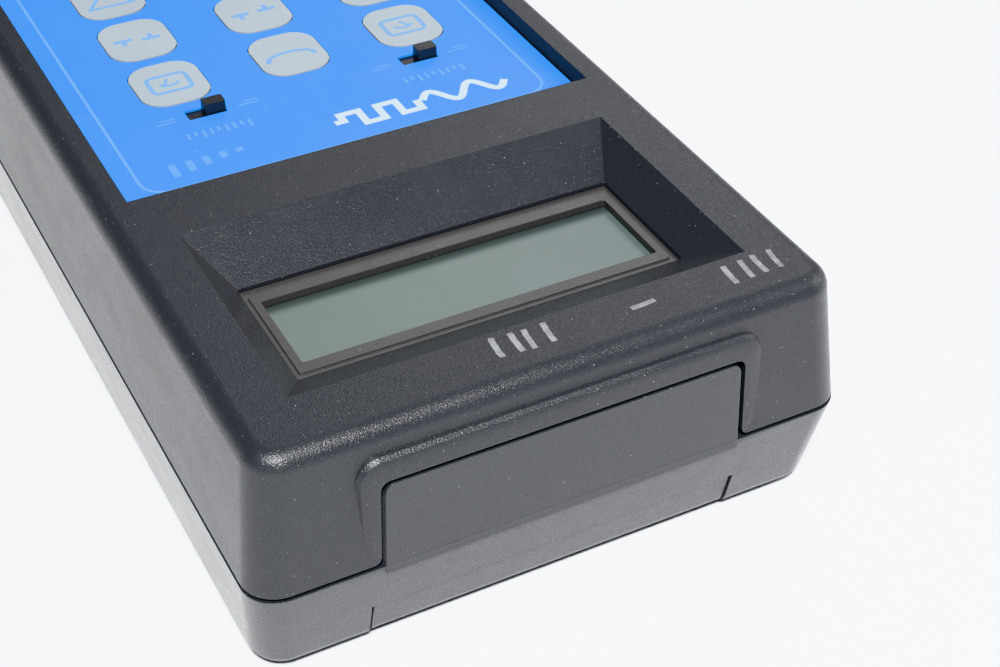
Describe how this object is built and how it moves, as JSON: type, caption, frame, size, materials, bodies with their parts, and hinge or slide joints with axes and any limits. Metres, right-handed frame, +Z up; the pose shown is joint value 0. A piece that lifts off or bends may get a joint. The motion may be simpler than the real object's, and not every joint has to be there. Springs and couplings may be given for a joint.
{
  "type": "handheld process calibrator",
  "caption": "Handheld voltage and current calibrator: LCD in a bevelled recess, membrane keypad, slide switches, end sockets, tilt stand and battery door.",
  "frame": {"origin": "centre of the footprint at the level the rubber feet stand on", "axes": "+Z up out of the keypad face, +Y toward the display end, +X to the reader's right"},
  "size_m": [0.1, 0.203, 0.0435],
  "materials": {
    "case_front": "fine textured charcoal ABS",
    "case_back": "fine textured charcoal ABS",
    "overlay_film": "satin printed polyester, blue",
    "key_face": "satin light grey",
    "clear_film": "adhesive spacer film",
    "flex_film": "amber flexible circuit",
    "switch_black": "moulded black",
    "plated_steel": "tin plated",
    "bezel_paint": "satin dark brown-grey paint",
    "lcd_face": "grey-green reflective LCD under a polariser",
    "board_green": "green solder mask",
    "connector_black": "moulded black",
    "connector_cream": "moulded cream",
    "zinc_screw": "zinc plated",
    "chip_black": "epoxy",
    "capacitor_sleeve": "shrink sleeve",
    "resistor_coat": "lacquer",
    "trimmer_blue": "moulded blue",
    "fuse_glass": "clear tube",
    "clip_brass": "plain",
    "jack_red_plastic": "moulded red",
    "jack_black_plastic": "moulded black",
    "contact_brass": "turned",
    "pin_steel": "ground",
    "battery_wrap": "plain printed sleeve, no lettering",
    "lead_red": "PVC insulation",
    "foot_rubber": "moulded",
    "rating_plate": "blank satin foil"
  },
  "bodies": {
    "case": {"front_shell": "case_front", "back_shell": "case_back", "keypad_overlay": "overlay_film", "keypad_spacer": "clear_film", "keypad_circuit": "flex_film", "keypad_tail": "flex_film", "switch_cans": "plated_steel", "lcd_bezel": "bezel_paint", "lcd_glass": "lcd_face", "lcd_board": "board_green", "lcd_header": "connector_black", "main_board": "board_green", "board_screws": "zinc_screw", "chips": "chip_black", "chip_pins": "plated_steel", "crystal": "plated_steel", "capacitors": "capacitor_sleeve", "resistors": "resistor_coat", "trimmers": "trimmer_blue", "fuse": "fuse_glass", "fuse_clips": "clip_brass", "tail_socket": "connector_cream", "jack_red": "jack_red_plastic", "jack_black": "jack_black_plastic", "jack_sleeves": "contact_brass", "jack_nuts": "plated_steel", "jack_leads": "clip_brass", "hinge_pin": "pin_steel", "battery": "battery_wrap", "battery_studs": "plated_steel", "battery_snap": "connector_black", "battery_leads": "lead_red", "case_screws": "zinc_screw", "thread_inserts": "contact_brass", "rubber_feet": "foot_rubber", "back_plate": "rating_plate"},
    "key_r1_c1": {"key_r1_c1": "key_face"},
    "key_r1_c2": {"key_r1_c2": "key_face"},
    "key_r1_c3": {"key_r1_c3": "key_face"},
    "key_r2_c1": {"key_r2_c1": "key_face"},
    "key_r2_c2": {"key_r2_c2": "key_face"},
    "key_r2_c3": {"key_r2_c3": "key_face"},
    "key_r3_c1": {"key_r3_c1": "key_face"},
    "key_r3_c2": {"key_r3_c2": "key_face"},
    "key_r3_c3": {"key_r3_c3": "key_face"},
    "key_r4_c1": {"key_r4_c1": "key_face"},
    "key_r4_c2": {"key_r4_c2": "key_face"},
    "key_r4_c3": {"key_r4_c3": "key_face"},
    "mode_knob": {"mode_knob": "switch_black"},
    "range_knob": {"range_knob": "switch_black"},
    "tilt_stand": {"tilt_stand": "case_back"},
    "battery_door": {"battery_door": "case_back"}
  },
  "joints": [
    {"name": "key_r1_c1_press", "type": "slide", "parent": "case", "child": "key_r1_c1", "axis": [0, 0, -1], "range_m": [0, 0.0004], "stiffness_N_per_m": 2500, "springref_m": -0.0002},
    {"name": "key_r1_c2_press", "type": "slide", "parent": "case", "child": "key_r1_c2", "axis": [0, 0, -1], "range_m": [0, 0.0004], "stiffness_N_per_m": 2500, "springref_m": -0.0002},
    {"name": "key_r1_c3_press", "type": "slide", "parent": "case", "child": "key_r1_c3", "axis": [0, 0, -1], "range_m": [0, 0.0004], "stiffness_N_per_m": 2500, "springref_m": -0.0002},
    {"name": "key_r2_c1_press", "type": "slide", "parent": "case", "child": "key_r2_c1", "axis": [0, 0, -1], "range_m": [0, 0.0004], "stiffness_N_per_m": 2500, "springref_m": -0.0002},
    {"name": "key_r2_c2_press", "type": "slide", "parent": "case", "child": "key_r2_c2", "axis": [0, 0, -1], "range_m": [0, 0.0004], "stiffness_N_per_m": 2500, "springref_m": -0.0002},
    {"name": "key_r2_c3_press", "type": "slide", "parent": "case", "child": "key_r2_c3", "axis": [0, 0, -1], "range_m": [0, 0.0004], "stiffness_N_per_m": 2500, "springref_m": -0.0002},
    {"name": "key_r3_c1_press", "type": "slide", "parent": "case", "child": "key_r3_c1", "axis": [0, 0, -1], "range_m": [0, 0.0004], "stiffness_N_per_m": 2500, "springref_m": -0.0002},
    {"name": "key_r3_c2_press", "type": "slide", "parent": "case", "child": "key_r3_c2", "axis": [0, 0, -1], "range_m": [0, 0.0004], "stiffness_N_per_m": 2500, "springref_m": -0.0002},
    {"name": "key_r3_c3_press", "type": "slide", "parent": "case", "child": "key_r3_c3", "axis": [0, 0, -1], "range_m": [0, 0.0004], "stiffness_N_per_m": 2500, "springref_m": -0.0002},
    {"name": "key_r4_c1_press", "type": "slide", "parent": "case", "child": "key_r4_c1", "axis": [0, 0, -1], "range_m": [0, 0.0004], "stiffness_N_per_m": 2500, "springref_m": -0.0002},
    {"name": "key_r4_c2_press", "type": "slide", "parent": "case", "child": "key_r4_c2", "axis": [0, 0, -1], "range_m": [0, 0.0004], "stiffness_N_per_m": 2500, "springref_m": -0.0002},
    {"name": "key_r4_c3_press", "type": "slide", "parent": "case", "child": "key_r4_c3", "axis": [0, 0, -1], "range_m": [0, 0.0004], "stiffness_N_per_m": 2500, "springref_m": -0.0002},
    {"name": "mode_slide", "type": "slide", "parent": "case", "child": "mode_knob", "axis": [1, 0, 0], "range_m": [0, 0.0029]},
    {"name": "range_slide", "type": "slide", "parent": "case", "child": "range_knob", "axis": [1, 0, 0], "range_m": [0, 0.0029]},
    {"name": "stand_hinge", "type": "hinge", "parent": "case", "child": "tilt_stand", "pos_m": [0, 0.0215, 0.0031], "axis": [-1, 0, 0], "range_deg": [0, 50]},
    {"name": "door_slide", "type": "slide", "parent": "case", "child": "battery_door", "axis": [0, -1, 0], "range_m": [0, 0.05]}
  ]
}
